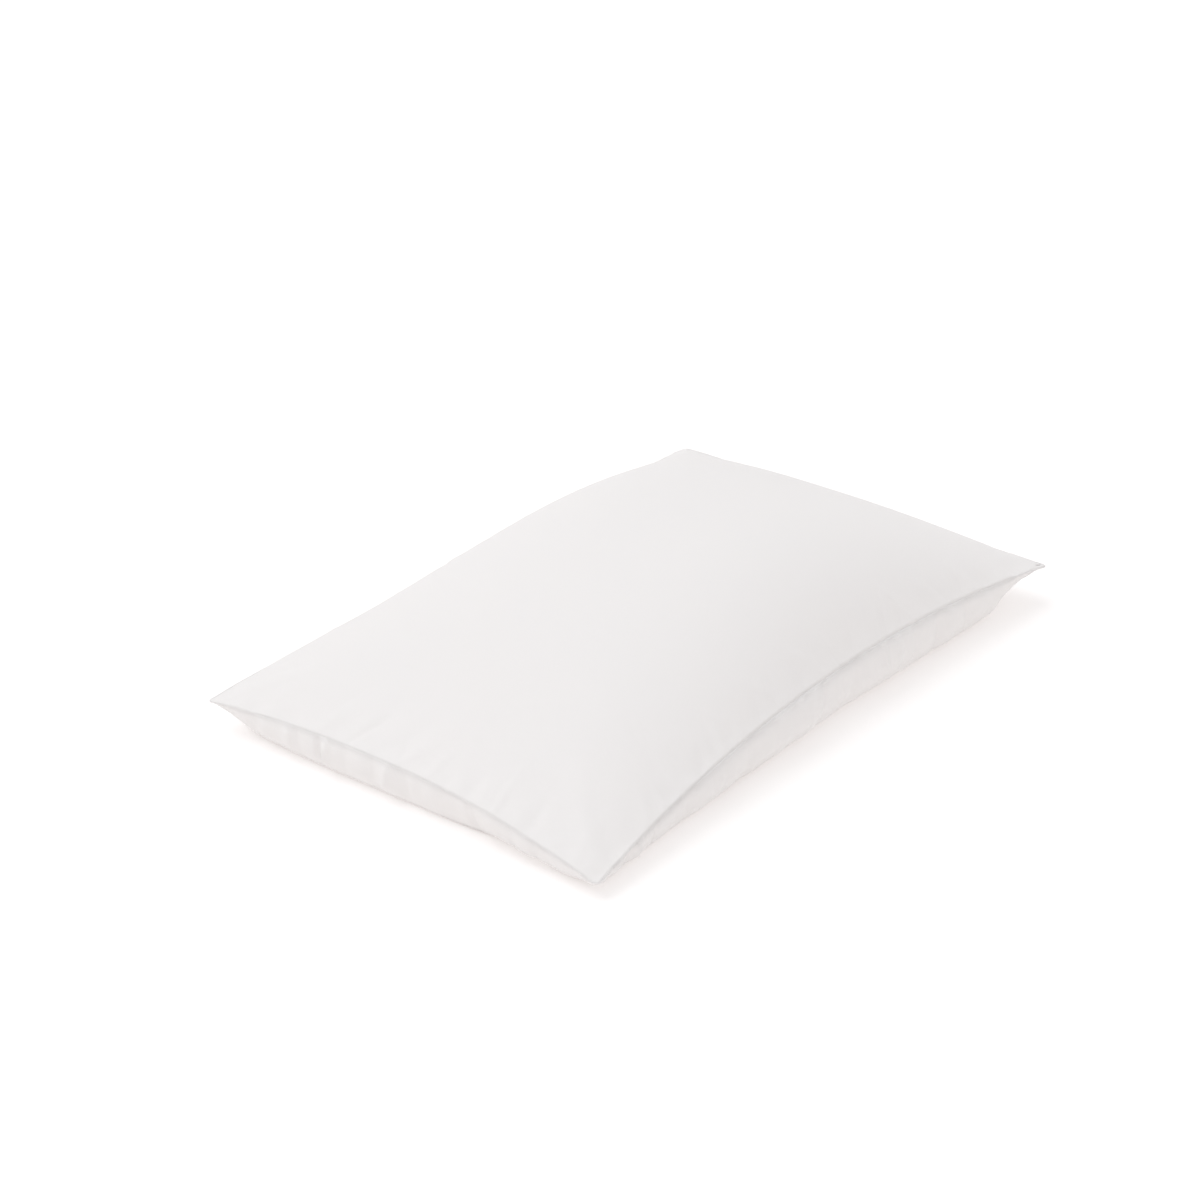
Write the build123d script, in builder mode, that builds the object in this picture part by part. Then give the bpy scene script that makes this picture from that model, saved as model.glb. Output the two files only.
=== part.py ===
"""Bed pillow: a hollowfibre insert inside an envelope-ended pillowcase.

Millimetres. +Z up, +X along the pillow towards the mouth of the case, +Y across it.
The origin is on the floor, under the middle of the pillow.

Every cloth layer is the shell between two nested forms. A form is a closed lens that
follows the case's outline: it is lofted through cross-sections across the pillow, each
one crowned above and below a line that joins its two side edges. Larger inset, smaller
form.
"""

import os
from math import cos, pi

from build123d import *

# Size over the four corners, filled
LENGTH = 735.0
WIDTH = 468.0
PULL_IN = 13.0  # each long side, midway between its corners

# Height of the case's edge above the floor: at the closed end, midway, at the mouth
NEAR_EDGE = (17.0, 64.0, 38.0)
FAR_EDGE = (30.0, 55.0, 47.0)
CLOSED_END_ARCH = 26.0  # further rise of the edge midway across each end
MOUTH_END_ARCH = 8.0

# Fullness
CROWN = 78.0  # of the top above the edge line
CROWN_SHIFT = 0.18  # of its highest point towards the mouth, as a share of half the length
BELLY = 150.0  # of the underside below it, before the floor flattens it
CROWN_ENDS = 1.8  # how fast it falls off to the ends: higher is squarer
CROWN_SIDES = 3.2
BELLY_CLOSED_END = 6.0
BELLY_MOUTH_END = 4.0
BELLY_SIDES = 5.0
SECTION_POINTS = 9  # in each spline of a cross-section

# Forms: inset vertically, inset in plan, half the edge's thickness, gap under the form
OUTSIDE = (0.0, 0.0, 1.2, 0.0)
CAVITY = (1.0, 2.0, 0.7, 1.0)
FLAP_INSIDE = (2.0, 3.0, 0.6, 2.0)
FLAP_HEM_INSIDE = (3.0, 4.0, 0.5, 3.0)
TICKING_OUTSIDE = (4.6, 17.0, 1.2, 4.6)
TICKING_INSIDE = (5.6, 18.5, 0.7, 5.6)

# Pillowcase
SEAM_WIDTH = 8.0  # from the outside edge to the raw edge of the seam allowance
SEAM_THICKNESS = 1.0
BACK_HEM = 27.0
FLAP_DEPTH = 150.0
FLAP_HEM = 14.0
THREAD = 0.6  # width of a line of stitching
THREAD_PROUD = 0.4
STITCH_INSET = 2.0  # from a hem's folded edge
TACK_LENGTH = 9.0
TACK_WIDTH = 2.0
TACK_FROM_SIDE = 6.0
STITCH_STOP = 24.0  # hem stitching stops this far short of the sides
CASE_LABEL = (30.0, 42.0)
CASE_LABEL_X = -215.0
LABEL_THICKNESS = 0.6

# Insert
INSERT_CORNER = 40.0
PIPING_INSET = 13.6
PIPING_RADIUS = 2.2
PIPING_CORD_RADIUS = 1.4
PIPING_RUNS = 4  # straight runs along each side
PIPING_BEND = 900.0
PIPING_JOIN = 0.2  # half the gap where its two ends meet
CLOSING_SEAM = 200.0
CLOSING_INSET = 5.0
INSERT_LABEL = (46.0, 38.0)
INSERT_LABEL_GAP = 24.0  # from the end of the case

BIG = 2000.0
HALF_LENGTH = LENGTH / 2
STITCHED = (STITCH_STOP - WIDTH / 2, WIDTH / 2 - STITCH_STOP)
MOUTH = HALF_LENGTH
SHARES = tuple(-cos(pi * i / (SECTION_POINTS - 1)) for i in range(SECTION_POINTS))
STATIONS = (-1.0, -0.96, -0.88, -0.74, -0.5, -0.25, 0.0, 0.25, 0.5, 0.74, 0.88, 0.96, 1.0)


def along(heights, u):
    """Height at u, from -1 to 1, on the parabola through an edge's three heights."""
    start, middle, end = heights
    return middle + (end - start) / 2 * u + ((start + end) / 2 - middle) * u * u


def half_width(x, inset=0.0):
    """Half the width at x, less the inset."""
    return WIDTH / 2 - PULL_IN * (1 - (x / HALF_LENGTH) ** 2) - inset


def edge_height(x, y):
    """Height of the edge line at a point in plan."""
    u = x / HALF_LENGTH
    v = y / half_width(x)
    sides = ((1 - v) * along(NEAR_EDGE, u) + (1 + v) * along(FAR_EDGE, u)) / 2
    arch = ((1 - u) * CLOSED_END_ARCH + (1 + u) * MOUTH_END_ARCH) / 2
    return sides + arch * (1 - v * v) * abs(u) ** 3


def left(share, power):
    """How much fullness is left at a share of the way from the middle to an edge."""
    return max(0.0, 1 - abs(share) ** power)


def form(layer):
    """The closed lens inside one layer, flat underneath where the floor carries it."""
    drop, inset, edge, gap = layer
    with BuildPart() as lens:
        for station in STATIONS:
            x = station * (HALF_LENGTH - inset)
            w = half_width(x, inset)
            belly_end = BELLY_CLOSED_END if x < 0 else BELLY_MOUTH_END
            u = x / HALF_LENGTH
            crown = max(0.0, CROWN * left(u - CROWN_SHIFT * (1 - u * u), CROWN_ENDS) - drop)
            belly = max(0.0, BELLY * left(u, belly_end) - drop)
            upper = []
            lower = []
            for share in SHARES:
                line = edge_height(x, share * w)
                upper.append((share * w, line + edge + crown * left(share, CROWN_SIDES)))
                lower.append((share * w, line - edge - belly * left(share, BELLY_SIDES)))
            with BuildSketch(Plane.YZ.offset(x)):
                with BuildLine():
                    Spline(upper)
                    Line(upper[-1], lower[-1])
                    Spline(lower[::-1])
                    Line(lower[0], upper[0])
                make_face()
        loft()
        split(bisect_by=Plane.XY.offset(gap), keep=Keep.TOP)
    return lens.part


def slab(bottom, top):
    """Everything between two heights above the edge line."""
    with BuildPart() as block:
        for station in STATIONS:
            x = station * (HALF_LENGTH + 1)
            w = half_width(x) + 1
            lower = [(share * w, edge_height(x, share * w) + bottom) for share in SHARES]
            upper = [(y, z + top - bottom) for y, z in lower]
            with BuildSketch(Plane.YZ.offset(x)):
                with BuildLine():
                    Spline(lower)
                    Line(lower[-1], upper[-1])
                    Spline(upper[::-1])
                    Line(upper[0], lower[0])
                make_face()
        loft()
    return block.part


def outline(inset):
    """The case's outline in plan, moved in, as an upright block."""
    count = 6
    end = HALF_LENGTH - inset
    xs = [-end + 2 * end * i / count for i in range(count + 1)]
    with BuildPart() as block:
        with BuildSketch():
            with BuildLine():
                near = Spline([(x, -half_width(x, inset)) for x in xs])
                far = Spline([(x, half_width(x, inset)) for x in xs])
                Line(near @ 0, far @ 0)
                Line(near @ 1, far @ 1)
            make_face()
        extrude(amount=BIG / 2, both=True)
    return block.part


def span(x_from, x_to, y_from=-BIG / 2, y_to=BIG / 2):
    """An upright block over a rectangle in plan."""
    with BuildPart() as block:
        with BuildSketch(Plane(origin=((x_from + x_to) / 2, (y_from + y_to) / 2, 0))):
            Rectangle(x_to - x_from, y_to - y_from)
        extrude(amount=BIG / 2, both=True)
    return block.part


def moved_out(layer, distance):
    """A layer's form moved out by a small distance, or in where it is negative."""
    drop, inset, edge, gap = layer
    return (drop - distance / 2, inset - distance, edge + distance / 2, max(0.0, gap - distance))


def rounded(block, radius):
    """An upright block with its four corners rounded."""
    with BuildPart() as cut:
        add(block)
        fillet(cut.edges().filter_by(Axis.Z), radius=radius)
    return cut.part


def piping_points():
    """The piping's route, clockwise from its join at the middle of the mouth end."""
    end = HALF_LENGTH - PIPING_INSET
    xs = [-end + 2 * end * i / PIPING_RUNS for i in range(PIPING_RUNS + 1)]
    near = [(x, -half_width(x, PIPING_INSET)) for x in xs[::-1]]
    far = [(x, half_width(x, PIPING_INSET)) for x in xs]
    route = [(end, -PIPING_JOIN)] + near + far + [(end, PIPING_JOIN)]
    return [(x, y, edge_height(x, y)) for x, y in route]


def piping_radii():
    """Bend at each turn of that route: small at the corners, wide along the sides."""
    side = [INSERT_CORNER] + [PIPING_BEND] * (PIPING_RUNS - 1) + [INSERT_CORNER]
    return side + side


def save(piece, label):
    """Label a finished piece and write its STEP file."""
    piece.part.label = label
    export_step(piece.part, f"parts/{label}.step")
    print(label, round(piece.part.volume, 1), len(piece.part.solids()))


os.makedirs("parts", exist_ok=True)

outside = form(OUTSIDE)
cavity = form(CAVITY)
flap_inside = form(FLAP_INSIDE)
flap_hem_inside = form(FLAP_HEM_INSIDE)
ticking_outside = form(TICKING_OUTSIDE)
ticking_inside = form(TICKING_INSIDE)
above_edge = slab(0, CROWN + 2 * max(FAR_EDGE))

with BuildPart() as outside_below:
    add(outside)
    add(above_edge, mode=Mode.SUBTRACT)

with BuildPart() as cavity_below:
    add(cavity)
    add(above_edge, mode=Mode.SUBTRACT)

# Pillowcase: front panel
with BuildPart() as case_front_panel:
    add(outside)
    add(above_edge, mode=Mode.INTERSECT)
    add(cavity, mode=Mode.SUBTRACT)
save(case_front_panel, "case_front_panel")

# Pillowcase: back panel, and its hem at the mouth
back_spans = {
    "case_back_panel": span(-BIG / 2, MOUTH - BACK_HEM),
    "case_back_hem": span(MOUTH - BACK_HEM, BIG / 2),
}
for label, reach in back_spans.items():
    with BuildPart() as back:
        add(outside_below.part)
        add(reach, mode=Mode.INTERSECT)
        add(cavity, mode=Mode.SUBTRACT)
    save(back, label)

# Pillowcase: the flap that folds in at the mouth, under the insert, and its hem
with BuildPart() as case_inner_flap:
    add(cavity_below.part)
    add(span(MOUTH - FLAP_DEPTH, BIG / 2), mode=Mode.INTERSECT)
    add(flap_inside, mode=Mode.SUBTRACT)
save(case_inner_flap, "case_inner_flap")

with BuildPart() as case_flap_hem:
    add(flap_inside)
    add(span(MOUTH - FLAP_DEPTH, MOUTH - FLAP_DEPTH + FLAP_HEM), mode=Mode.INTERSECT)
    add(above_edge, mode=Mode.SUBTRACT)
    add(flap_hem_inside, mode=Mode.SUBTRACT)
save(case_flap_hem, "case_flap_hem")

# Pillowcase: stitching, outside along the back hem and inside along the flap's hem
thread_outside = form(moved_out(OUTSIDE, THREAD_PROUD))
back_line = MOUTH - BACK_HEM + STITCH_INSET
with BuildPart() as case_back_hem_stitching:
    add(thread_outside)
    add(span(back_line, back_line + THREAD, *STITCHED), mode=Mode.INTERSECT)
    add(above_edge, mode=Mode.SUBTRACT)
    add(outside, mode=Mode.SUBTRACT)
save(case_back_hem_stitching, "case_back_hem_stitching")

flap_line = MOUTH - FLAP_DEPTH + FLAP_HEM - STITCH_INSET
with BuildPart() as case_flap_hem_stitching:
    add(flap_hem_inside)
    add(span(flap_line, flap_line + THREAD, *STITCHED), mode=Mode.INTERSECT)
    add(above_edge, mode=Mode.SUBTRACT)
    add(form(moved_out(FLAP_HEM_INSIDE, -THREAD_PROUD)), mode=Mode.SUBTRACT)
save(case_flap_hem_stitching, "case_flap_hem_stitching")

# Pillowcase: bar tacks at the two ends of the mouth
tack_end = MOUTH - TACK_FROM_SIDE
tack_middle = half_width(tack_end) - TACK_FROM_SIDE
for label, middle in (("case_tack_near", -tack_middle), ("case_tack_far", tack_middle)):
    with BuildPart() as tack:
        add(thread_outside)
        add(
            span(tack_end - TACK_LENGTH, tack_end, middle - TACK_WIDTH / 2, middle + TACK_WIDTH / 2),
            mode=Mode.INTERSECT,
        )
        add(above_edge, mode=Mode.SUBTRACT)
        add(outside, mode=Mode.SUBTRACT)
    save(tack, label)

# Pillowcase: seam allowances inside the two sides and the closed end
seam_slab = slab(-SEAM_THICKNESS / 2, SEAM_THICKNESS / 2)
inside_seams = outline(SEAM_WIDTH)
closed_end = SEAM_WIDTH - HALF_LENGTH
seam_spans = {
    "case_side_seam_near": span(closed_end, BIG / 2, -BIG / 2, 0),
    "case_side_seam_far": span(closed_end, BIG / 2, 0, BIG / 2),
    "case_end_seam": span(-BIG / 2, closed_end),
}
with BuildPart() as all_seams:
    add(seam_slab)
    add(inside_seams, mode=Mode.SUBTRACT)
    add(cavity, mode=Mode.INTERSECT)
    add(case_inner_flap.part, mode=Mode.SUBTRACT)
    add(case_flap_hem.part, mode=Mode.SUBTRACT)

for label, reach in seam_spans.items():
    with BuildPart() as seam:
        add(all_seams.part)
        add(reach, mode=Mode.INTERSECT)
    save(seam, label)

# Pillowcase: care label, flat on the inside of the back panel beside the near seam
label_edge = SEAM_WIDTH - half_width(CASE_LABEL_X)
with BuildPart() as case_care_label:
    add(cavity_below.part)
    add(
        span(CASE_LABEL_X, CASE_LABEL_X + CASE_LABEL[0], label_edge, label_edge + CASE_LABEL[1]),
        mode=Mode.INTERSECT,
    )
    add(form(moved_out(CAVITY, -LABEL_THICKNESS)), mode=Mode.SUBTRACT)
save(case_care_label, "case_care_label")

# Insert: two ticking panels round the fill, with rounded corners
insert_block = rounded(outline(TICKING_OUTSIDE[1] - 2), INSERT_CORNER + 2)
fill_block = rounded(outline(TICKING_INSIDE[1] - 2), INSERT_CORNER + 1)

with BuildPart() as insert_fill:
    add(ticking_inside)
    add(fill_block, mode=Mode.INTERSECT)
save(insert_fill, "insert_fill")

for label, half in (("insert_ticking_top", Mode.INTERSECT), ("insert_ticking_bottom", Mode.SUBTRACT)):
    with BuildPart() as ticking:
        add(ticking_outside)
        add(insert_block, mode=Mode.INTERSECT)
        add(insert_fill.part, mode=Mode.SUBTRACT)
        add(above_edge, mode=half)
    save(ticking, label)

# Insert: piping round its edge, a cord in a bias-cut cover
piping_tubes = {
    "insert_piping_cord": (PIPING_CORD_RADIUS, 0),
    "insert_piping_cover": (PIPING_RADIUS, PIPING_CORD_RADIUS),
}
for label, (outer, inner) in piping_tubes.items():
    with BuildPart() as piping:
        with BuildLine() as run:
            FilletPolyline(piping_points(), radius=piping_radii())
        with BuildSketch(Plane(origin=run.line @ 0, z_dir=run.line % 0)):
            Circle(outer)
            if inner:
                Circle(inner, mode=Mode.SUBTRACT)
        sweep(path=run.line)
    save(piping, label)

# Insert: stitching that closes the filling hole at the mouth end
closing_x = HALF_LENGTH - TICKING_OUTSIDE[1] - CLOSING_INSET
with BuildPart() as insert_closing_stitching:
    add(form(moved_out(TICKING_OUTSIDE, THREAD_PROUD)))
    add(span(closing_x - THREAD, closing_x, -CLOSING_SEAM / 2, CLOSING_SEAM / 2), mode=Mode.INTERSECT)
    add(above_edge, mode=Mode.INTERSECT)
    add(ticking_outside, mode=Mode.SUBTRACT)
save(insert_closing_stitching, "insert_closing_stitching")

# Insert: care label, flat under the closed end
insert_label_x = INSERT_LABEL_GAP - HALF_LENGTH
with BuildPart() as insert_care_label:
    add(form(moved_out(TICKING_OUTSIDE, LABEL_THICKNESS)))
    add(
        span(insert_label_x, insert_label_x + INSERT_LABEL[0], -INSERT_LABEL[1] / 2, INSERT_LABEL[1] / 2),
        mode=Mode.INTERSECT,
    )
    add(above_edge, mode=Mode.SUBTRACT)
    add(ticking_outside, mode=Mode.SUBTRACT)
save(insert_care_label, "insert_care_label")
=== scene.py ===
"""Bed pillow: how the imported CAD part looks, in metres and in the CAD's own frame.

The pillowcase is a simulated cloth envelope, blown up over its filling on the floor. Its
shape is kept as two grids of points, TOP and BOTTOM, which meet all round at the seam. A
place on either is (u, v), from -1 to 1 along X and across Y, and every other piece of the
case and of the insert is laid out from those two grids.
"""

import math

import bpy
import numpy as np
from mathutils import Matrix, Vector


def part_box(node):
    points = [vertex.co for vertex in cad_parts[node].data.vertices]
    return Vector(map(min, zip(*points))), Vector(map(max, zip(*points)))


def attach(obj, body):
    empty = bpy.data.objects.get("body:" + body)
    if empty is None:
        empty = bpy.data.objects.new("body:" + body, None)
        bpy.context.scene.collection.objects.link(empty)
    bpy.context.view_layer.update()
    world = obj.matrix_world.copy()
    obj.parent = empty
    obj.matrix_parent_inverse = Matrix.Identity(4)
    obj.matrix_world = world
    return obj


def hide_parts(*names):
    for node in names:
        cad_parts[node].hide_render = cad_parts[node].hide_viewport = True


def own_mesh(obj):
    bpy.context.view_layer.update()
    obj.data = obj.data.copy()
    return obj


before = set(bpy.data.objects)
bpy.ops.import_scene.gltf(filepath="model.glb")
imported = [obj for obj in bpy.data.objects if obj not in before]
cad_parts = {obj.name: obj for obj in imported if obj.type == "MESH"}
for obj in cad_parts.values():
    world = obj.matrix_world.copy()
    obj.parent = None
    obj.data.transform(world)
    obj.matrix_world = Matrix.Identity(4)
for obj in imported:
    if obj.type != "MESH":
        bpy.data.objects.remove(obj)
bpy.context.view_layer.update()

CASE_NODES = [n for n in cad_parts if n.startswith("case_")]
LOW, HIGH = (np.array([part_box(n)[k] for n in CASE_NODES]) for k in (0, 1))
LENGTH, WIDTH = (HIGH.max(0) - LOW.min(0))[:2]

# Shape before the cloth settles, as in the CAD: the height of the seam at the closed end,
# the middle and the mouth of each long side
NEAR_EDGE = (0.017, 0.064, 0.038)
FAR_EDGE = (0.030, 0.055, 0.047)
END_ARCH = (0.026, 0.008)  # the seam also rises midway across the closed end and the mouth
PULL_IN = 0.013
END_PULL_IN = 0.005
CROWN = 0.078
CROWN_SHIFT = 0.18  # the filling sits towards the mouth
CROWN_POWERS = (1.8, 3.2)  # along and across: the higher, the flatter on top
BELLY = 0.150
BELLY_POWERS = (9.0, 4.0, 7)  # closed end, mouth and sides: the higher, the steeper the wall

# The cut
FLAT = (0.750, 0.500)
HALF_FLAT = (FLAT[0] / 2, FLAT[1] / 2)
CASE_CLOTH = 0.0005
HEM = 0.027
FLAP = 0.150
FLAP_HEM = 0.014
SEAM_ALLOWANCE = 0.008

# The insert, measured in from the case's seam on the flat cloth
INSERT_INSET = 0.017
INSERT_CORNER = 0.040
INSERT_GAP = 0.0046
TICKING = 0.0006
PIPING_RADIUS = 0.0022
ROLL = 0.034  # how far in from its edge the insert's rounded side reaches

# The cloth's two runs: cells along and across, frames, and how far the seam draws in
COARSE = {"cells": (60, 40), "frames": 60, "pucker": 0.02}
CREASES = {"cells": (120, 80), "frames": 25, "pucker": 0.03}
PRESSURE = 20
BENDING = (0.3, 1.0)  # of the open cloth and of the seam
RIM_PIN = 0.3  # how firmly the seam keeps its starting place
CORNER_HOLD = 0.030  # the cloth is held within this of each corner
END_FILLING = 0.4  # share of the pressure at the ends
CLEARANCE = 0.0015  # between the simulated cloth and the table

FINE = (240, 160)  # cells in the finished grids
OFF_FLOOR = 0.0003  # the lowest cloth's height
CORNER_RADIUS = 0.008
ROLL_OUT, ROLL_WIDTH = 0.0014, 0.006  # the seam's rolled edge
SWELL, SWELL_PLACE, SWELL_WIDTH = 0.0065, 0.020, 0.014  # the filling's swell under the seam
TOP_PUCKERS, BOTTOM_PUCKERS = 0.0014, 0.0040

RNG = np.random.default_rng(68)


# ---------------------------------------------------------------- grids of points


def mesh_grid(columns, rows, u=(-1.0, 1.0), v=(-1.0, 1.0)):
    """Places (u, v) at the corners of a number of cells."""
    return np.meshgrid(np.linspace(*u, columns + 1), np.linspace(*v, rows + 1), indexing="ij")


def start_shape(u, v, top):
    """The CAD's outside, from which the simulation starts."""

    def along(heights):
        start, middle, end = heights
        return middle + (end - start) / 2 * u + ((start + end) / 2 - middle) * u * u

    share = (v + 1) / 2
    edge = (1 - share) * along(NEAR_EDGE) + share * along(FAR_EDGE)
    arch = END_ARCH[0] * (1 - u) / 2 + END_ARCH[1] * (1 + u) / 2
    edge = edge + arch * (1 - v * v) * np.abs(u) ** 3
    y = v * (WIDTH / 2 - PULL_IN * (1 - u * u))
    x = u * (LENGTH / 2 - END_PULL_IN * (1 - v * v))
    if top:
        shifted = np.abs(u - CROWN_SHIFT * (1 - u * u))
        along_power, across_power = CROWN_POWERS
        z = edge + CROWN * (1 - shifted**along_power) * (1 - np.abs(v) ** across_power)
    else:
        closed_power, mouth_power, side_power = BELLY_POWERS
        ends = 1 - np.abs(u) ** np.where(u < 0, closed_power, mouth_power)
        z = np.maximum(0, edge - BELLY * ends * (1 - np.abs(v) ** side_power))
    return np.stack([x, y, z], -1)


def cubic(values, places):
    """Values along the first axis at fractional places, through a Catmull-Rom spline."""
    last = len(values) - 1
    i = np.clip(np.floor(places).astype(int), 0, last - 1)
    t = (places - i).reshape((-1,) + (1,) * (values.ndim - 1))
    b, c = values[i], values[i + 1]
    at_start = (i == 0).reshape(t.shape)
    at_end = (i == last - 1).reshape(t.shape)
    a = np.where(at_start, 2 * b - c, values[np.maximum(i - 1, 0)])
    d = np.where(at_end, 2 * c - b, values[np.minimum(i + 2, last)])
    return b + t / 2 * (c - a + t * (2 * a - 5 * b + 4 * c - d + t * (3 * (b - c) + d - a)))


def resample(grid, columns, rows):
    """The same surface with another number of cells."""
    out = cubic(grid, np.linspace(0, len(grid) - 1, columns + 1))
    out = cubic(out.transpose(1, 0, 2), np.linspace(0, grid.shape[1] - 1, rows + 1))
    return out.transpose(1, 0, 2)


def at(grid, u, v):
    """Points of a grid at places (u, v), bilinear."""
    columns, rows = grid.shape[0] - 1, grid.shape[1] - 1
    x = np.clip((u + 1) / 2 * columns, 0, columns)
    y = np.clip((v + 1) / 2 * rows, 0, rows)
    i = np.minimum(x.astype(int), columns - 1)
    j = np.minimum(y.astype(int), rows - 1)
    s, t = (x - i)[..., None], (y - j)[..., None]
    low = grid[i, j] * (1 - s) + grid[i + 1, j] * s
    high = grid[i, j + 1] * (1 - s) + grid[i + 1, j + 1] * s
    return low * (1 - t) + high * t


def normals(grid, up):
    """Unit normals of a grid, upwards on the top one and downwards on the bottom one."""
    n = np.cross(np.gradient(grid, axis=0), np.gradient(grid, axis=1))
    return n / np.maximum(np.linalg.norm(n, axis=-1, keepdims=True), 1e-12) * (1 if up else -1)


def blur(grid, times):
    """Evens out a grid, with its rim held."""
    out = grid.copy()
    for _ in range(times):
        near = out[:-2, 1:-1] + out[2:, 1:-1] + out[1:-1, :-2] + out[1:-1, 2:]
        out[1:-1, 1:-1] = 0.5 * out[1:-1, 1:-1] + 0.125 * near
    return out


def smooth(x):
    """Rises from 0 to 1 as x does, level at both ends."""
    x = np.clip(x, 0, 1)
    return x * x * (3 - 2 * x)


# ---------------------------------------------------------------- the cloth simulation


def envelope(columns, rows):
    """Vertex numbers of a top and a bottom grid that share their rim, and their faces."""
    top = np.arange((columns + 1) * (rows + 1)).reshape(columns + 1, rows + 1)
    bottom = top.copy()
    inner = (columns - 1) * (rows - 1)
    bottom[1:-1, 1:-1] = top.size + np.arange(inner).reshape(columns - 1, rows - 1)
    faces = []
    for i in range(columns):
        for j in range(rows):
            for g, order in ((top, (0, 1, 2, 3)), (bottom, (0, 3, 2, 1))):
                ring = (g[i, j], g[i + 1, j], g[i + 1, j + 1], g[i, j + 1])
                faces.append(tuple(int(ring[k]) for k in order))
    return top, bottom, top.size + inner, faces


def settle(upper, lower, cells, frames, pucker):
    """Runs the cloth from the given shape towards the flat cut it was sewn from."""
    scene = bpy.context.scene
    columns, rows = cells
    top, bottom, count, faces = envelope(columns, rows)
    u, v = mesh_grid(columns, rows)
    points, flat = np.zeros((count, 3)), np.zeros((count, 3))
    points[bottom], points[top] = lower, upper
    flat[top] = np.stack([u * HALF_FLAT[0], v * HALF_FLAT[1], 0 * u], -1)
    flat[bottom] = flat[top]
    mesh = bpy.data.meshes.new("sim")
    mesh.from_pydata(points.tolist(), [], faces)
    cloth = bpy.data.objects.new("sim", mesh)
    scene.collection.objects.link(cloth)
    cloth.shape_key_add(name="filled")
    cut = cloth.shape_key_add(name="cut")
    cut.data.foreach_set("co", flat.ravel())

    rim = set(np.concatenate([top[0], top[-1], top[:, 0], top[:, -1]]).tolist())
    corners = points[[top[0, 0], top[0, -1], top[-1, 0], top[-1, -1]]]
    reach = np.linalg.norm(points[:, None] - corners, axis=2).min(1)
    held = cloth.vertex_groups.new(name="held")
    for k in range(count):
        weight = max(1 - reach[k] / CORNER_HOLD, RIM_PIN if k in rim else 0)
        if weight > 0:
            held.add([k], float(weight), "REPLACE")
    filled = cloth.vertex_groups.new(name="filled")
    for i in range(columns + 1):
        weight = END_FILLING + (1 - END_FILLING) * (1 - u[i, 0] ** 2)
        filled.add([int(k) for g in (top, bottom) for k in g[i]], float(weight), "REPLACE")
    seam = cloth.vertex_groups.new(name="seam")
    seam.add(list(rim), 1.0, "REPLACE")

    modifier = cloth.modifiers.new("cloth", "CLOTH")
    s = modifier.settings
    s.quality = 6
    s.mass = 0.1
    s.tension_stiffness = s.compression_stiffness = 80
    s.shear_stiffness = 30
    s.tension_damping = s.compression_damping = s.shear_damping = 5
    s.bending_model = "ANGULAR"
    s.bending_stiffness, s.bending_stiffness_max = BENDING
    s.bending_damping = 0.5
    s.vertex_group_bending = "seam"
    s.vertex_group_mass = "held"
    s.vertex_group_shrink = "seam"
    s.shrink_max = pucker
    s.rest_shape_key = cut
    s.use_pressure = True
    s.uniform_pressure_force = PRESSURE
    s.vertex_group_pressure = "filled"
    s.air_damping = 2
    s.effector_weights.gravity = 0.3
    modifier.collision_settings.distance_min = CLEARANCE
    modifier.collision_settings.use_self_collision = False
    modifier.point_cache.frame_end = frames
    scene.frame_start, scene.frame_end = 1, frames
    for number in range(1, frames + 1):
        scene.frame_set(number)
    settled = cloth.evaluated_get(bpy.context.evaluated_depsgraph_get()).data
    out = np.empty(count * 3)
    settled.vertices.foreach_get("co", out)
    out = out.reshape(-1, 3)
    bpy.data.objects.remove(cloth)
    scene.frame_set(1)
    return out[top], out[bottom]


def simulated():
    """The filled case: a coarse run to find the shape, and a fine one for its creases."""
    mesh = bpy.data.meshes.new("table")
    mesh.from_pydata([(-2, -2, 0), (2, -2, 0), (2, 2, 0), (-2, 2, 0)], [], [(0, 1, 2, 3)])
    table = bpy.data.objects.new("table", mesh)
    bpy.context.scene.collection.objects.link(table)
    table.modifiers.new("collision", "COLLISION")
    table.collision.thickness_outer = CLEARANCE
    table.collision.cloth_friction = 10
    u, v = mesh_grid(*COARSE["cells"])
    upper, lower = start_shape(u, v, True), start_shape(u, v, False)
    upper, lower = settle(upper, lower, **COARSE)
    upper, lower = (resample(grid, *CREASES["cells"]) for grid in (upper, lower))
    lower[..., 2] = np.maximum(lower[..., 2], CLEARANCE)
    upper, lower = settle(upper, lower, **CREASES)
    bpy.data.objects.remove(table)
    return upper, lower


TOP, BOTTOM = simulated()
TOP, BOTTOM = resample(blur(TOP, 4), *FINE), resample(BOTTOM, *FINE)
drop = BOTTOM[..., 2].min() - OFF_FLOOR
TOP[..., 2] -= drop
BOTTOM[..., 2] -= drop


# ---------------------------------------------------------------- the seam and its puckers

U, V = mesh_grid(*FINE)
FROM_SIDE = (1 - np.abs(V)) * HALF_FLAT[1]
FROM_END = (1 - np.abs(U)) * HALF_FLAT[0]
FROM_SEAM = np.minimum(FROM_SIDE, FROM_END)


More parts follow.
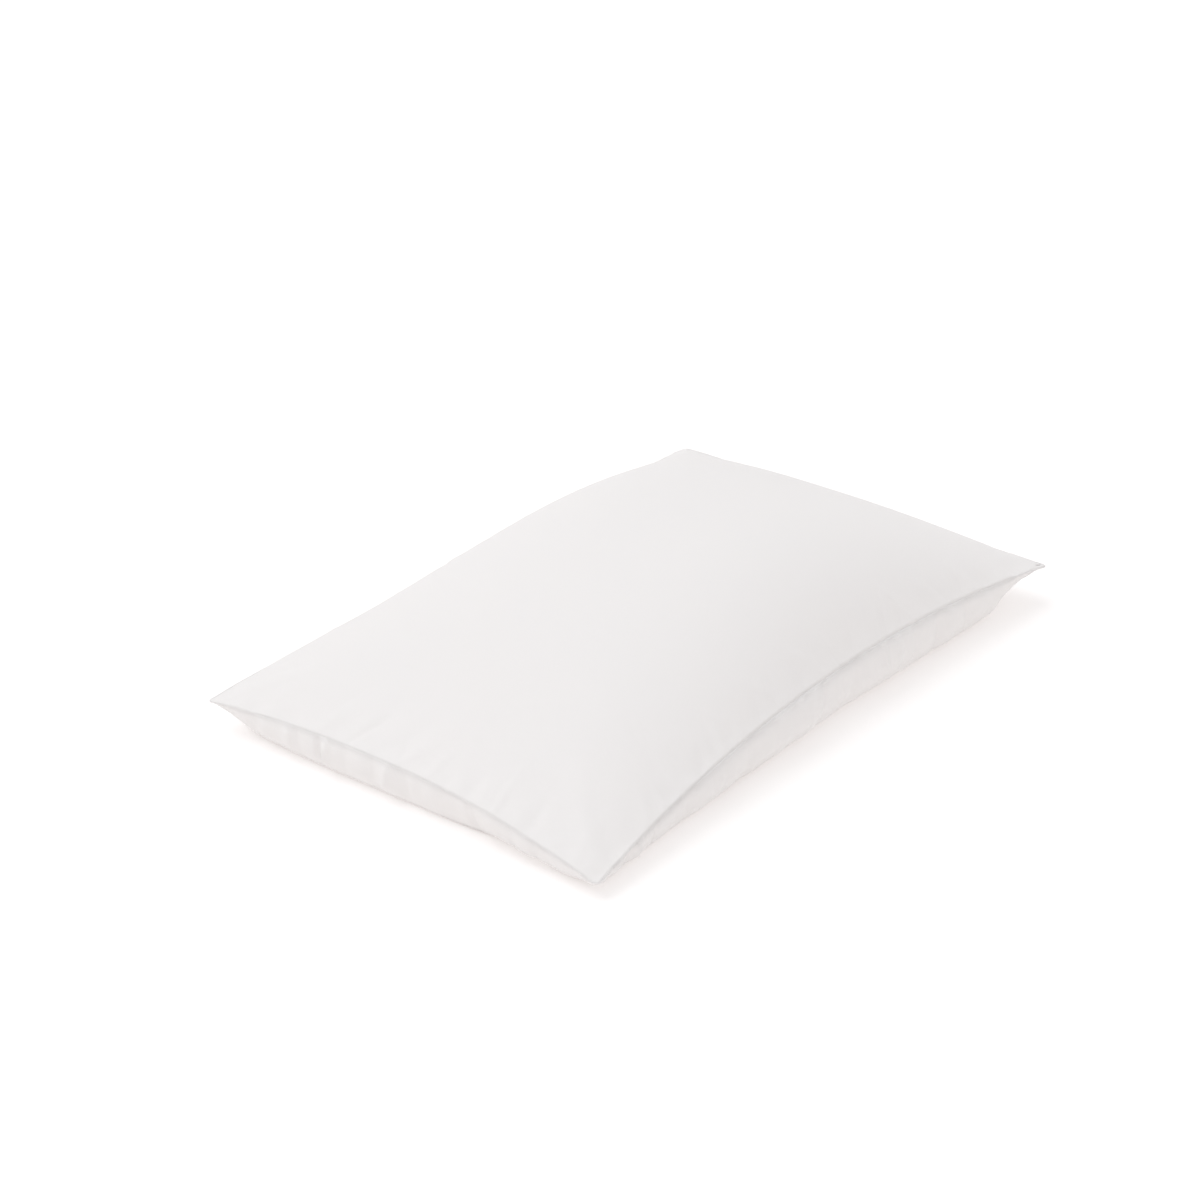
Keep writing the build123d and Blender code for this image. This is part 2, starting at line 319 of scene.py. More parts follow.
def puckers(strength):
    """Short folds across the seam, as its thread draws the cloth in: more dip than stand."""
    height = np.zeros_like(U)
    x, y = U * HALF_FLAT[0], V * HALF_FLAT[1]
    sides = (  # place along the seam, distance in from it, its half length, and the folds on it
        (x, (V + 1) * HALF_FLAT[1], HALF_FLAT[0], 34),
        (x, (1 - V) * HALF_FLAT[1], HALF_FLAT[0], 34),
        (y, (U + 1) * HALF_FLAT[0], HALF_FLAT[1], 22),
        (y, (1 - U) * HALF_FLAT[0], HALF_FLAT[1], 20),
    )
    for along, inward, half, count in sides:
        places = (np.arange(count) + RNG.uniform(-0.42, 0.42, count)) / (count - 1) * 2 - 1
        for place in places:
            width = RNG.uniform(0.0035, 0.0095)
            reach = RNG.uniform(0.012, 0.045)
            lean = RNG.uniform(-0.8, 0.8)
            size = RNG.uniform(0.35, 1.0) * RNG.choice([-1, 1], p=[0.62, 0.38])
            across = (along - place * half * 0.97 - lean * inward) / width
            fade = np.exp(-((inward / reach) ** 2)) * smooth(0.25 + inward / ROLL_WIDTH)
            height += size * strength * np.exp(-across * across) * fade
    return height[..., None]


def outward():
    """Level directions away from the pillow, square to the nearest seam."""
    side = np.stack([0 * U, np.sign(V), 0 * U], -1) * smooth(1 - FROM_SIDE / 0.06)[..., None]
    end = np.stack([np.sign(U), 0 * U, 0 * U], -1) * smooth(1 - FROM_END / 0.06)[..., None]
    both = side + end
    return both / np.maximum(np.linalg.norm(both, axis=-1, keepdims=True), 1)


def seam_roll():
    """The allowance folded inside the seam stands it out, and the filling swells below it."""
    roll = ROLL_OUT * np.exp(-((FROM_SEAM / ROLL_WIDTH) ** 2))
    corner = np.hypot(np.maximum(1 - FROM_END / 0.05, 0), np.maximum(1 - FROM_SIDE / 0.05, 0))
    swell = SWELL * np.exp(-(((FROM_SEAM - SWELL_PLACE) / SWELL_WIDTH) ** 2)) * smooth(1 - corner)
    swell = swell * smooth(FROM_SEAM / ROLL_WIDTH)
    away = outward()
    return TOP + away * roll[..., None], BOTTOM + away * (roll + swell)[..., None]


def rounded_corners(radius):
    """Both grids with the seam's corners turned round a small radius."""
    a, b = (np.maximum(1 - d / radius, 0) for d in (FROM_END, FROM_SIDE))
    end = radius * (1 - a * np.sqrt(1 - b * b / 2))
    side = radius * (1 - b * np.sqrt(1 - a * a / 2))
    near = (a > 0) & (b > 0)
    u = np.where(near, np.sign(U) * (1 - end / HALF_FLAT[0]), U)
    v = np.where(near, np.sign(V) * (1 - side / HALF_FLAT[1]), V)
    return at(TOP, u, v), at(BOTTOM, u, v)


TOP, BOTTOM = rounded_corners(CORNER_RADIUS)
TOP, BOTTOM = seam_roll()
TOP = TOP + normals(TOP, True) * puckers(TOP_PUCKERS)
OFF_REST = smooth(BOTTOM[..., 2:] / 0.020)  # no puckers where the cloth lies flat
BOTTOM = BOTTOM + normals(BOTTOM, False) * puckers(BOTTOM_PUCKERS) * OFF_REST
BOTTOM[..., 2] = np.maximum(BOTTOM[..., 2], OFF_FLOOR)
RIM = FROM_SEAM < 1e-6
BOTTOM[RIM] = TOP[RIM]
MIDDLE = (TOP + BOTTOM) / 2
HALF_THICKNESS = np.linalg.norm(TOP - BOTTOM, axis=-1, keepdims=True) / 2
NORMAL = {"top": blur(normals(TOP, True), 6), "bottom": blur(normals(BOTTOM, False), 6)}
GRID = {"top": TOP, "bottom": BOTTOM, "middle": MIDDLE}


# ---------------------------------------------------------------- materials


# Which of a Mix node's sockets carry colours
MIX_FIRST, MIX_SECOND, MIX_RESULT = 6, 7, 2


def nodes_of(name):
    """A new material, its node tree and its shader."""
    material = bpy.data.materials.new(name)
    material.use_nodes = True
    tree = material.node_tree
    return material, tree, tree.nodes["Principled BSDF"]


class Graph:
    """Adds shader nodes to a tree and joins them."""

    def __init__(self, tree):
        self.tree = tree

    def add(self, kind, inputs=None, **settings):
        node = self.tree.nodes.new(kind)
        for key, value in settings.items():
            setattr(node, key, value)
        for key, value in (inputs or {}).items():
            if isinstance(value, bpy.types.NodeSocket):
                self.tree.links.new(value, node.inputs[key])
            else:
                node.inputs[key].default_value = value
        return node

    def math(self, operation, a, b=0.0):
        return self.add("ShaderNodeMath", {0: a, 1: b}, operation=operation).outputs[0]


def noise(g, place, scale, detail, roughness=0.5):
    """The outputs of a noise texture, Fac and Color."""
    inputs = {"Vector": place, "Scale": scale, "Detail": detail, "Roughness": roughness}
    return g.add("ShaderNodeTexNoise", inputs).outputs


def threads_of(g, place, pitch, twill):
    """Height of the yarns: warp and weft over and under each other, a little out of line."""
    stray = noise(g, place, 55.0, 3.0)["Color"]
    bend = g.add("ShaderNodeVectorMath", {0: stray, "Scale": pitch * 1.6}, operation="SCALE")
    bent = g.add("ShaderNodeVectorMath", {0: place, 1: bend.outputs[0]}, operation="ADD")
    split = g.add("ShaderNodeSeparateXYZ", {0: bent.outputs[0]})
    leaning = g.math("ADD", split.outputs["Y"], g.math("MULTIPLY", split.outputs["X"], twill))
    turn = 2 * math.pi / pitch
    x = g.math("MULTIPLY", split.outputs["X"], turn)
    y = g.math("MULTIPLY", leaning, turn)
    warp = g.math("ABSOLUTE", g.math("SINE", g.math("MULTIPLY", x, 0.5)))
    weft = g.math("ABSOLUTE", g.math("SINE", g.math("MULTIPLY", y, 0.5)))
    crossing = g.math("MULTIPLY", g.math("MULTIPLY", g.math("SINE", x), g.math("SINE", y)), 0.35)
    return g.math("ADD", g.math("MULTIPLY", g.math("ADD", warp, weft), 0.5), crossing)


def woven(name, colour, pitch, weave=1.0, sheen=0.3, rough=0.85, variation=0.03, twill=0.0):
    """Woven cloth: its yarns, slubs, soft fibres and a slow drift in tone. It reads the flat
    cloth's own coordinates, so that the yarns follow it."""
    material, tree, shader = nodes_of(name)
    g = Graph(tree)
    place = g.add("ShaderNodeAttribute", attribute_name="cloth").outputs["Vector"]
    threads = threads_of(g, place, pitch, twill)
    slubs = noise(g, place, 420.0, 4.0, 0.6)["Fac"]
    fuzz = noise(g, place, 2600.0, 2.0)["Fac"]
    drift = noise(g, place, 9.0, 4.0, 0.55)["Fac"]
    crumple = noise(g, place, 38.0, 5.0, 0.62)["Fac"]

    tone = g.math("ADD", g.math("MULTIPLY", threads, 0.5), g.math("MULTIPLY", slubs, 0.3))
    tone = g.math("ADD", tone, g.math("MULTIPLY", drift, 0.35))
    tone = g.math("MULTIPLY", g.math("SUBTRACT", tone, 0.62), variation * 2)
    tone = g.math("ADD", tone, 1.0)
    warmer = (colour[0] * 0.988, colour[1] * 0.984, colour[2] * 0.976, 1)
    tints = {"Factor": drift, MIX_FIRST: (*colour, 1), MIX_SECOND: warmer}
    tint = g.add("ShaderNodeMix", tints, data_type="RGBA").outputs[MIX_RESULT]
    base = g.add("ShaderNodeVectorMath", {0: tint, "Scale": tone}, operation="SCALE")
    tree.links.new(base.outputs[0], shader.inputs["Base Color"])

    span = {"Value": threads, "To Min": rough - 0.05, "To Max": rough + 0.06}
    rougher = g.add("ShaderNodeMapRange", span)
    tree.links.new(rougher.outputs[0], shader.inputs["Roughness"])
    soft = g.add("ShaderNodeBump", {"Height": crumple, "Strength": 0.22, "Distance": 0.0016})
    height = g.math("ADD", threads, g.math("MULTIPLY", slubs, 0.7))
    height = g.math("ADD", height, g.math("MULTIPLY", fuzz, 0.35))
    relief = {"Height": height, "Strength": 0.55 * weave, "Distance": pitch * 0.25}
    bump = g.add("ShaderNodeBump", {**relief, "Normal": soft.outputs[0]})
    tree.links.new(bump.outputs[0], shader.inputs["Normal"])
    shader.inputs["Sheen Weight"].default_value = sheen
    shader.inputs["Sheen Roughness"].default_value = 0.45
    shader.inputs["Specular IOR Level"].default_value = 0.25
    return material


def twisted(name, colour, pitch, sheen=0.35):
    """Spun thread or fibre: fine diagonal plies with a little fuzz."""
    material, tree, shader = nodes_of(name)
    g = Graph(tree)
    place = g.add("ShaderNodeTexCoord").outputs["Object"]
    split = g.add("ShaderNodeSeparateXYZ", {0: place})
    lean = g.math("ADD", split.outputs["X"], g.math("MULTIPLY", split.outputs["Y"], 1.3))
    lean = g.math("ADD", lean, g.math("MULTIPLY", split.outputs["Z"], 0.8))
    ply = g.math("SINE", g.math("MULTIPLY", lean, 2 * math.pi / pitch))
    fuzz = noise(g, place, 1800.0, 4.0)["Fac"]
    height = g.math("ADD", g.math("MULTIPLY", ply, 0.5), fuzz)
    tone = g.math("ADD", g.math("MULTIPLY", height, 0.05), 0.95)
    base = g.add("ShaderNodeVectorMath", {0: colour, "Scale": tone}, operation="SCALE")
    tree.links.new(base.outputs[0], shader.inputs["Base Color"])
    rougher = g.add("ShaderNodeMapRange", {"Value": fuzz, "To Min": 0.6, "To Max": 0.85})
    tree.links.new(rougher.outputs[0], shader.inputs["Roughness"])
    bump = g.add("ShaderNodeBump", {"Height": height, "Strength": 0.5, "Distance": pitch * 0.3})
    tree.links.new(bump.outputs[0], shader.inputs["Normal"])
    shader.inputs["Sheen Weight"].default_value = sheen
    return material


WHITE = (0.85, 0.832, 0.826)
MATERIAL = {
    "case_cotton": woven("case_cotton", WHITE, 0.00055, variation=0.035),
    "case_thread": twisted("case_thread", (0.86, 0.85, 0.84), 0.0006),
    "label_tape": woven(
        "label_tape", (0.82, 0.82, 0.81), 0.0004, sheen=0.5, rough=0.55, twill=0.5
    ),
    "ticking": woven("ticking", (0.83, 0.82, 0.80), 0.0008, weave=1.2, twill=0.6),
    "hollowfibre": twisted("hollowfibre", (0.88, 0.88, 0.88), 0.004, sheen=0.6),
    "piping_cord": twisted("piping_cord", (0.84, 0.83, 0.80), 0.0012),
    "piping_tape": woven("piping_tape", (0.84, 0.83, 0.81), 0.0007, twill=1.0),
    "ticking_thread": twisted("ticking_thread", (0.85, 0.84, 0.83), 0.0006),
}


# ---------------------------------------------------------------- making pieces


def finish_piece(obj, slot, nodes, cloth=None, thickness=None):
    """Material, cloth coordinates and thickness, and what the piece stands for."""
    for polygon in obj.data.polygons:
        polygon.use_smooth = True
    obj.data.materials.append(MATERIAL[slot])
    if cloth is not None:
        attribute = obj.data.attributes.new("cloth", "FLOAT_VECTOR", "POINT")
        attribute.data.foreach_set("vector", np.asarray(cloth, np.float32).ravel())
    if thickness:
        modifier = obj.modifiers.new("thickness", "SOLIDIFY")
        modifier.thickness = thickness
        modifier.offset = -1  # inwards
    in_case = nodes[0].startswith("case_")
    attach(obj, "pillowcase" if in_case else "insert")
    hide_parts(*nodes)
    if in_case:
        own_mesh(obj)
    return obj


def new_object(name, points, faces):
    mesh = bpy.data.meshes.new(name)
    mesh.from_pydata(np.asarray(points).reshape(-1, 3).tolist(), [], faces)
    mesh.update()
    obj = bpy.data.objects.new(name, mesh)
    bpy.context.scene.collection.objects.link(obj)
    return obj


def grid_faces(columns, rows, flip=False):
    """Quads over a grid of points."""
    faces = []
    for i in range(columns):
        for j in range(rows):
            a, b = i * (rows + 1) + j, (i + 1) * (rows + 1) + j
            ring = (a, b, b + 1, a + 1)
            faces.append(ring[::-1] if flip else ring)
    return faces


def merged(parts):
    """Several lots of points and faces as one."""
    points, faces, start = [], [], 0
    for some, rings in parts:
        faces += [tuple(k + start for k in ring) for ring in rings]
        points.append(some)
        start += len(some)
    return np.concatenate(points), faces


def tube(path, radius, sides, closed=True):
    """Points and faces of a tube along a path."""
    path = np.asarray(path)
    ahead = np.roll(path, -1, 0) - np.roll(path, 1, 0) if closed else np.gradient(path, axis=0)
    ahead /= np.linalg.norm(ahead, axis=1, keepdims=True)
    side = np.cross(ahead, (0, 0, 1))
    side /= np.linalg.norm(side, axis=1, keepdims=True)
    up = np.cross(side, ahead)
    turn = np.linspace(0, 2 * math.pi, sides, endpoint=False)
    ring = np.cos(turn)[:, None] * side[:, None] + np.sin(turn)[:, None] * up[:, None]
    points = path[:, None] + ring * np.broadcast_to(radius, (len(path),))[:, None, None]
    faces = []
    count = len(path)
    for i in range(count if closed else count - 1):
        this, following = i * sides, (i + 1) % count * sides
        for j in range(sides):
            n = (j + 1) % sides
            faces.append((this + j, this + n, following + n, following + j))
    if not closed:
        faces.append(tuple(range(sides)))
        faces.append(tuple(range(count * sides - 1, (count - 1) * sides - 1, -1)))
    return points.reshape(-1, 3), faces


def stitches(name, starts, ends, radius, slot, nodes):
    """Short lengths of thread, each swelling towards its middle."""
    steps = np.linspace(0, 1, 5)[:, None]
    swell = radius * np.array([0.45, 0.9, 1.0, 0.9, 0.45])
    threads = [tube(a * (1 - steps) + b * steps, swell, 6, closed=False) for a, b in zip(starts, ends)]
    return finish_piece(new_object(name, *merged(threads)), slot, nodes)


def flat_place(u, v):
    """Where a place is on the flat cloth."""
    return np.stack([u * HALF_FLAT[0], v * HALF_FLAT[1], 0 * u], -1)


# ---------------------------------------------------------------- the case

# Places along the cloth, and how far the case's pieces lie from its outside
MOUTH_HEM = 1 - HEM / HALF_FLAT[0]
FLAP_END = 1 - FLAP / HALF_FLAT[0]
FLAP_HEM_END = FLAP_END + FLAP_HEM / HALF_FLAT[0]
SEAM_WIDTH = SEAM_ALLOWANCE / HALF_FLAT[1]
STITCH_STOP = 1 - 0.024 / HALF_FLAT[1]
STITCH_IN = 0.002 / HALF_FLAT[0]  # a row of stitches from its hem's edge
STITCH_PITCH = 0.0028
STITCH_GAP = 0.14  # share of the pitch between a stitch's end and the hole it goes into
THREAD = 0.0003
TACK_THREAD = 0.00033
TACK_STITCHES = 14
CASE_LABEL_FROM = -0.215
CASE_LABEL_SIZE = (0.030, 0.042)
TWO_PLY = 0.0008


def on_case(side, u, v, out=0.0):
    """Points on the case's cloth, moved out by a distance, or in where it is negative."""
    points = at(GRID[side], u, v)
    if side != "middle":
        points = points + at(NORMAL[side], u, v) * np.asarray(out)[..., None]
        points[..., 2] = np.maximum(points[..., 2], 0.0002)
    return points


def patch(name, side, u, v, cells, slot, nodes, out=0.0, thickness=CASE_CLOTH):
    """A piece of cloth over part of the case."""
    us, vs = mesh_grid(*cells, u, v)
    offset = out(us, vs) if callable(out) else np.full_like(us, out)
    points = on_case(side, us, vs, offset)
    obj = new_object(name, points, grid_faces(*cells, flip=side == "bottom"))
    return finish_piece(obj, slot, nodes, flat_place(us, vs), thickness)


def case_cloth(name, side, u, v, cells, node, **how):
    """A piece of the case's own cotton."""
    return patch(name, side, u, v, cells, "case_cotton", [node], **how)


def hem_out(_, v):
    """The hem stands out from the back, down to nothing in the side seams."""
    return 0.0007 * smooth((1 - np.abs(v)) / 0.02)


def flap_out(u, _):
    """The flap leaves the mouth's edge and lies inside the back."""
    return -0.0018 * smooth((1 - u) / 0.03) - 0.0001


def seam_allowances():
    """The cloth turned inside along three seams, on the level of the seam."""
    along = (-0.97, 0.99)
    end = (-1 + 0.003, -1 + SEAM_ALLOWANCE / HALF_FLAT[0])
    near, far = (-1 + SEAM_WIDTH * 0.12, -1 + SEAM_WIDTH), (1 - SEAM_WIDTH, 1 - SEAM_WIDTH * 0.12)
    strips = (
        ("case_seam_near", along, near, (160, 3), "case_side_seam_near"),
        ("case_seam_far", along, far, (160, 3), "case_side_seam_far"),
        ("case_seam_end", end, (-0.96, 0.96), (3, 120), "case_end_seam"),
    )
    return [
        case_cloth(name, "middle", u, v, cells, node, thickness=TWO_PLY)
        for name, u, v, cells, node in strips
    ]


def sewn_label():
    """The blank care label, caught in the near side seam."""
    u = [x / (LENGTH / 2) for x in (CASE_LABEL_FROM, CASE_LABEL_FROM + CASE_LABEL_SIZE[0])]
    v = (-1 + SEAM_WIDTH, -1 + SEAM_WIDTH + CASE_LABEL_SIZE[1] / HALF_FLAT[1])
    return patch(
        "case_label", "bottom", u, v, (8, 10), "label_tape", ["case_care_label"],
        out=-0.0014, thickness=0.0004,
    )


def stitch_row(name, u, out, node):
    """A row of stitches across the case, along its back."""
    count = int(2 * STITCH_STOP * HALF_FLAT[1] / STITCH_PITCH)
    edges = np.linspace(-STITCH_STOP, STITCH_STOP, count + 1)
    gap = (edges[1] - edges[0]) * STITCH_GAP
    starts, ends = (
        on_case("bottom", np.full(count, u), v, np.full(count, out))
        for v in (edges[:-1] + gap, edges[1:] - gap)
    )
    return stitches(name, starts, ends, THREAD, "case_thread", [node])


def bar_tack(name, sign):
    """Close stitches across the end of the mouth, side by side."""
    us = np.linspace(0.962, 0.984, TACK_STITCHES)
    starts, ends = (
        on_case("bottom", us + step, np.full_like(us, sign * v), np.full_like(us, 0.0011))
        for step, v in ((0, 0.966), (0.0012, 0.975))
    )
    nodes = [f"case_tack_{name}"]
    return stitches(f"case_bar_tack_{name}", starts, ends, TACK_THREAD, "case_thread", nodes)


front = case_cloth("case_front", "top", (-1, 1), (-1, 1), FINE, "case_front_panel")
back = case_cloth(
    "case_back", "bottom", (-1, MOUTH_HEM + 0.004), (-1, 1), (232, 160), "case_back_panel"
)
hem = case_cloth(
    "case_hem", "bottom", (MOUTH_HEM, 0.9935), (-1, 1), (12, 160), "case_back_hem",
    out=hem_out, thickness=0.0012,
)
flap = case_cloth(
    "case_flap", "bottom", (FLAP_END, 1), (-0.985, 0.985), (48, 120), "case_inner_flap",
    out=flap_out,
)
flap_hem = case_cloth(
    "case_flap_hem_fold", "bottom", (FLAP_END, FLAP_HEM_END), (-0.98, 0.98), (5, 120),
    "case_flap_hem", out=-0.0026, thickness=TWO_PLY,
)
seams = seam_allowances()
case_label = sewn_label()
hem_row = stitch_row("case_hem_stitches", MOUTH_HEM + STITCH_IN, 0.0008, "case_back_hem_stitching")
flap_row = stitch_row(
    "case_flap_stitches", FLAP_HEM_END - STITCH_IN, -0.0036, "case_flap_hem_stitching"
)
tacks = [bar_tack(name, sign) for name, sign in (("near", -1), ("far", 1))]


# ---------------------------------------------------------------- the insert

INSERT_HALF = (HALF_FLAT[0] - INSERT_INSET, HALF_FLAT[1] - INSERT_INSET)
RINGS, SPOKES = 44, 260  # of points in each half of the insert
RING_SHARES = np.sin(np.linspace(0, 1, RINGS + 1)[1:] * math.pi / 2)  # closer near the edge
FILL_GAP = INSERT_GAP + TICKING + 0.0012
FILL_SHARE = 0.992
LUMPS = 0.012  # how uneven the filling is, as a share of its depth

PIPING_OUT = 0.0016  # from the insert's edge to the middle of its piping
PIPING_SIDES = 14
STRANDS = 3
STRAND = 0.0007
STRAND_TURNS = 240

OPENING = 0.200  # where the insert was filled and closed by hand
CLOSING_STITCHES = 40
CLOSING_IN = 0.0030
CLOSING_THREAD = 0.00035
INSERT_LABEL_FROM, INSERT_LABEL_TO = 0.024, 0.070  # from the closed end
INSERT_LABEL_WIDTH = 0.038


def insert_depth(u, v):
    """How far a place is inside the insert's rounded outline, on the flat cloth."""
    x = np.abs(u) * HALF_FLAT[0] - (INSERT_HALF[0] - INSERT_CORNER)
    y = np.abs(v) * HALF_FLAT[1] - (INSERT_HALF[1] - INSERT_CORNER)
    outside = np.hypot(np.maximum(x, 0), np.maximum(y, 0)) + np.minimum(np.maximum(x, y), 0)
    return INSERT_CORNER - outside


def on_insert(side, u, v, gap=INSERT_GAP, out=0.0):
    """Points on the insert: the case's own shape, rounded over at the insert's edge."""
    middle = at(MIDDLE, u, v)
    half = at(HALF_THICKNESS, u, v)
    full = 1 - gap / np.maximum(half, gap * 1.6)
    depth = np.clip(insert_depth(u, v) / ROLL, 0, 1)[..., None]
    rounded = np.sqrt(np.maximum(1 - (1 - depth) ** 2, 0))
    waves = np.sin(u * 19 + np.sin(v * 13)) * np.sin(v * 15 + 2 * np.sin(u * 11))
    share = full * rounded * (1 + LUMPS * waves[..., None] - 0.015)
    raised = (0, 0, out if side == "top" else -out)
    return middle + (at(GRID[side], u, v) - middle) * share + np.array(raised)


def outline(count):
    """Places round the insert's edge, evenly spaced."""
    straight = (INSERT_HALF[0] - INSERT_CORNER, INSERT_HALF[1] - INSERT_CORNER)
    turn = np.linspace(0, math.pi / 2, 24)
    arc = INSERT_CORNER * np.stack([np.cos(turn), np.sin(turn)], -1)
    quarters = []
    for sx, sy, order in ((1, 1, 1), (-1, 1, -1), (-1, -1, 1), (1, -1, -1)):
        quarters.append((arc[::order] + straight) * (sx, sy))
    path = np.concatenate(quarters + [quarters[0][:1]])
    run = np.concatenate([[0], np.cumsum(np.linalg.norm(np.diff(path, axis=0), axis=1))])
    steps = np.linspace(0, run[-1], count, endpoint=False)
    even = np.stack([np.interp(steps, run, path[:, k]) for k in (0, 1)], -1)
    return even / HALF_FLAT


EDGE = outline(SPOKES)


def insert_shell(side, gap, share=1.0):
    """Points, flat places and faces of the insert's top or bottom: rings round a middle."""
    u, v = (EDGE[None, :, k] * RING_SHARES[:, None] * share for k in (0, 1))
    u, v = (np.concatenate([np.zeros(1), places.ravel()]) for places in (u, v))
    faces = []
    for s in range(SPOKES):
        n = (s + 1) % SPOKES
        faces.append((0, 1 + s, 1 + n))
        for r in range(RINGS - 1):
            a, b = 1 + r * SPOKES, 1 + (r + 1) * SPOKES
            faces.append((a + s, b + s, b + n, a + n))
    if side == "bottom":
        faces = [face[::-1] for face in faces]
    return on_insert(side, u, v, gap), flat_place(u, v), faces


def ticking(name, side, node):
    """One panel of the insert's cover."""
    points, cloth, faces = insert_shell(side, INSERT_GAP)
    return finish_piece(new_object(name, points, faces), "ticking", [node], cloth, TICKING)


def insert_filling():
    """The fibre inside the ticking, as one closed soft block."""
    halves = []
    for side in ("top", "bottom"):
        points, _, faces = insert_shell(side, FILL_GAP, FILL_SHARE)
        halves.append((points, faces))
    points, faces = merged(halves)
    rim_top = 1 + (RINGS - 1) * SPOKES
    rim_bottom = rim_top + 1 + RINGS * SPOKES
    for s in range(SPOKES):
        n = (s + 1) % SPOKES
        faces.append((rim_top + s, rim_bottom + s, rim_bottom + n, rim_top + n))
    return finish_piece(new_object("insert_filling", points, faces), "hollowfibre", ["insert_fill"])


def piping_line():
    """The middle of the piping, and the level directions out from it."""
    edge = at(MIDDLE, EDGE[:, 0], EDGE[:, 1])
    away = np.cross(np.roll(edge, -1, 0) - np.roll(edge, 1, 0), (0, 0, 1))
    away /= np.linalg.norm(away, axis=1, keepdims=True)
    return edge + away * PIPING_OUT, away


def piping_cover(path):
    """The bias tape round the piping."""
    points, faces = tube(path, PIPING_RADIUS, PIPING_SIDES)
    girth = np.linspace(0, 2 * math.pi * PIPING_RADIUS, PIPING_SIDES, endpoint=False)
    around = np.tile(girth, SPOKES)
    along = np.repeat(np.arange(SPOKES) * 0.009, PIPING_SIDES)
    cloth = np.stack([along, around, around * 0], -1)
    obj = new_object("insert_piping", points, faces)
    return finish_piece(obj, "piping_tape", ["insert_piping_cover"], cloth)


def piping_core(path, away):
    """The twisted cord inside the piping."""
    dense = np.linspace(0, SPOKES, SPOKES * 3, endpoint=False)

    def denser(ring):
        ring = np.concatenate([ring, ring[:1]])
        return np.stack([np.interp(dense, np.arange(SPOKES + 1), column) for column in ring.T], -1)

    line, side, up = denser(path), denser(away), np.array((0, 0, 1))
    strands = []
    for strand in range(STRANDS):
        phase = 2 * math.pi * (dense / SPOKES * STRAND_TURNS + strand / STRANDS)[:, None]
        twist = line + STRAND * (np.cos(phase) * side + np.sin(phase) * up)
        strands.append(tube(twist, STRAND, 6))
    obj = new_object("insert_piping_core", *merged(strands))
    return finish_piece(obj, "piping_cord", ["insert_piping_cord"])


def closing_stitches():
    """The slanted stitches that close the opening at the mouth end of the insert."""
    count = CLOSING_STITCHES
    v = np.linspace(-OPENING / 2, OPENING / 2, count + 1) / HALF_FLAT[1]
    u = 1 - (INSERT_INSET + CLOSING_IN) / HALF_FLAT[0]
    starts = on_insert("top", np.full(count, u), v[:-1] + 0.004, out=THREAD)
    ends = on_insert("top", np.full(count, u - 0.003), v[1:] - 0.004, out=THREAD)
    return stitches(
        "insert_closing_stitches", starts, ends, CLOSING_THREAD, "ticking_thread",
        ["insert_closing_stitching"],
    )


def tape_label():
    """The blank label on the underside of the insert, at the closed end."""
    u = [x / (LENGTH / 2) - 1 + 0.004 for x in (INSERT_LABEL_FROM, INSERT_LABEL_TO)]
    v = [sign * INSERT_LABEL_WIDTH / 2 / HALF_FLAT[1] for sign in (-1, 1)]
    us, vs = mesh_grid(12, 10, u, v)
    points = on_insert("bottom", us, vs, out=0.0006)
    obj = new_object("insert_label", points, grid_faces(12, 10, flip=True))
    return finish_piece(obj, "label_tape", ["insert_care_label"], flat_place(us, vs), 0.0005)


ticking_top = ticking("insert_top", "top", "insert_ticking_top")
ticking_bottom = ticking("insert_bottom", "bottom", "insert_ticking_bottom")
filling = insert_filling()
PIPING_PATH, PIPING_AWAY = piping_line()
piping_cover(PIPING_PATH)
piping_core(PIPING_PATH, PIPING_AWAY)
closing_stitches()
insert_label = tape_label()


# ---------------------------------------------------------------- floor, light and camera

FLOOR_HALF = 14
FLOOR_TONES = (0.72, 0.73)
FLOOR_GLOW = (1.0, 0.945, 0.925, 1)
GLOW_STRENGTH = 0.34
HORIZON = (1.22, 1.17, 1.15, 1)  # a thin bright band, as white as the floor
LOW_SKY = (1.0, 0.93, 0.90, 1)
HIGH_SKY = (0.975, 0.985, 1.0, 1)
SKY_STRENGTH = 0.83
KEY_STRENGTH = 0.95
KEY_ANGLE = 55
KEY_COLOUR = (0.975, 0.99, 1.0)
KEY_FROM = (-0.25, 0.85, 1.45)


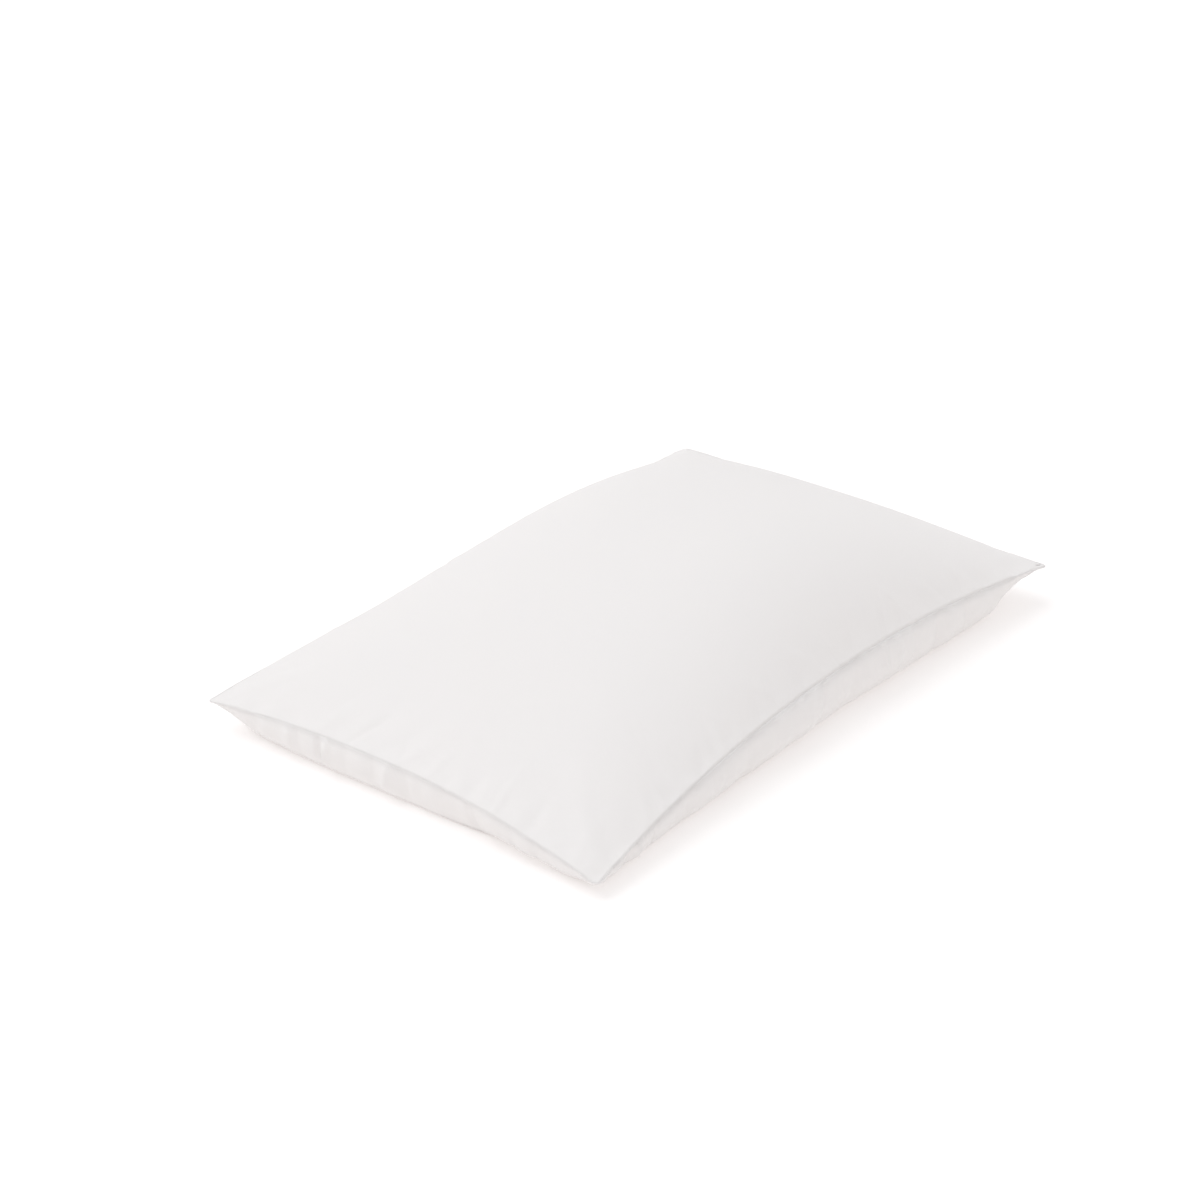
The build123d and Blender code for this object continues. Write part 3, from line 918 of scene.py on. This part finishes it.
def floor():
    """A plain white floor, with a glow that keeps it white away from the pillow's shadow."""
    h = FLOOR_HALF
    obj = new_object("floor", [(-h, -h, 0), (h, -h, 0), (h, h, 0), (-h, h, 0)], [(0, 1, 2, 3)])
    material, tree, shader = nodes_of("studio_floor")
    g = Graph(tree)
    grain = noise(g, g.add("ShaderNodeTexCoord").outputs["Object"], 3.0, 3.0)["Fac"]
    span = {"Value": grain, "To Min": FLOOR_TONES[0], "To Max": FLOOR_TONES[1]}
    tone = g.add("ShaderNodeMapRange", span).outputs[0]
    base = g.add("ShaderNodeVectorMath", {0: (1.0, 1.0, 1.0), "Scale": tone}, operation="SCALE")
    tree.links.new(base.outputs[0], shader.inputs["Base Color"])
    shader.inputs["Roughness"].default_value = 1.0
    shader.inputs["Specular IOR Level"].default_value = 0.0
    shader.inputs["Emission Color"].default_value = FLOOR_GLOW
    shader.inputs["Emission Strength"].default_value = GLOW_STRENGTH
    obj.data.materials.append(material)


def studio_light():
    """A soft sky, warm low down and cool overhead, and a broad sun."""
    world = bpy.data.worlds.new("studio")
    world.use_nodes = True
    sky = world.node_tree.nodes["Background"]
    g = Graph(world.node_tree)
    direction = g.add("ShaderNodeTexCoord").outputs["Generated"]
    rise = g.add("ShaderNodeSeparateXYZ", {0: direction}).outputs["Z"]

    def faded(low, high, start, end):
        share = g.add("ShaderNodeMapRange", {"Value": rise, "From Min": start, "From Max": end})
        inputs = {"Factor": share.outputs[0], MIX_FIRST: low, MIX_SECOND: high}
        return g.add("ShaderNodeMix", inputs, data_type="RGBA").outputs[MIX_RESULT]

    colour = faded(HORIZON, faded(LOW_SKY, HIGH_SKY, 0.0, 0.7), 0.02, 0.12)
    world.node_tree.links.new(colour, sky.inputs["Color"])
    sky.inputs["Strength"].default_value = SKY_STRENGTH
    bpy.context.scene.world = world

    key = bpy.data.lights.new("key", "SUN")
    key.energy = KEY_STRENGTH
    key.angle = math.radians(KEY_ANGLE)
    key.color = KEY_COLOUR
    lamp = bpy.data.objects.new("key", key)
    lamp.rotation_euler = Vector(KEY_FROM).to_track_quat("Z", "Y").to_euler()
    bpy.context.scene.collection.objects.link(lamp)
    bpy.context.scene.view_settings.view_transform = "Standard"


def camera(azimuth, elevation, distance, target, lens):
    """A camera at a distance from its target, which looks straight at it."""
    a, e = math.radians(azimuth), math.radians(elevation)
    back = Vector((math.sin(a) * math.cos(e), -math.cos(a) * math.cos(e), math.sin(e)))
    data = bpy.data.cameras.new("camera")
    data.lens = lens
    data.sensor_width = 36
    data.clip_end = 50
    obj = bpy.data.objects.new("camera", data)
    obj.location = Vector(target) + back * distance
    obj.rotation_euler = back.to_track_quat("Z", "Y").to_euler()
    bpy.context.scene.collection.objects.link(obj)
    bpy.context.scene.camera = obj


floor()
studio_light()
camera(
    azimuth=-50.95, elevation=26.15, distance=2.5376, target=(0.0743, 0.1214, 0.0), lens=73.49
)
